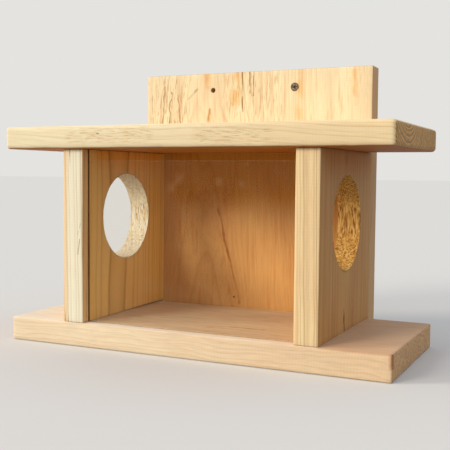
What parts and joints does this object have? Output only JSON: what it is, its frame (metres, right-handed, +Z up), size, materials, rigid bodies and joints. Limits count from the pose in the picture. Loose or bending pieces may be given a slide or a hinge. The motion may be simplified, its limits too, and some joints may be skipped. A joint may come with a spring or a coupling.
{
  "type": "squirrel feeder house",
  "caption": "Open wooden feeding box for squirrels: long floor and roof boards, side walls with round entries, tall back board to hang it by, and a clear sliding front pane.",
  "frame": {"origin": "middle of the floor board's underside", "axes": "+X along the floor board towards its right end seen from the front, +Y towards the back board, +Z up"},
  "size_m": [0.328, 0.1786, 0.2345],
  "materials": {
    "cedar_roof": "planed cedar, unfinished, flat grain along the board",
    "cedar_floor": "planed cedar, unfinished, pinkish, grain along the board",
    "cedar_wall": "planed cedar, unfinished, upright grain",
    "cedar_back": "planed cedar, unfinished, upright grain with resin streaks",
    "clear_acrylic": "clear cast acrylic sheet, polished faces, sawn edges",
    "zinc_steel": "zinc plated steel, slightly dulled"
  },
  "bodies": {
    "house": {"floor_board": "cedar_floor", "left_side_wall": "cedar_wall", "right_side_wall": "cedar_wall", "back_board": "cedar_back", "roof_board": "cedar_roof", "mounting_screw": "zinc_steel", "roof_screw_left_front": "zinc_steel", "roof_screw_left_rear": "zinc_steel", "roof_screw_right_front": "zinc_steel", "roof_screw_right_rear": "zinc_steel", "floor_screw_left_front": "zinc_steel", "floor_screw_left_rear": "zinc_steel", "floor_screw_right_front": "zinc_steel", "floor_screw_right_rear": "zinc_steel", "back_screw_left_lower": "zinc_steel", "back_screw_left_upper": "zinc_steel", "back_screw_right_lower": "zinc_steel", "back_screw_right_upper": "zinc_steel", "floor_edge_screw_left": "zinc_steel", "floor_edge_screw_right": "zinc_steel", "roof_edge_screw_left": "zinc_steel", "roof_edge_screw_right": "zinc_steel"},
    "pane": {"front_pane": "clear_acrylic"}
  },
  "joints": [
    {"name": "pane_slide", "type": "slide", "parent": "house", "child": "pane", "axis": [0, 0, 1], "range_m": [0, 0.009]}
  ]
}
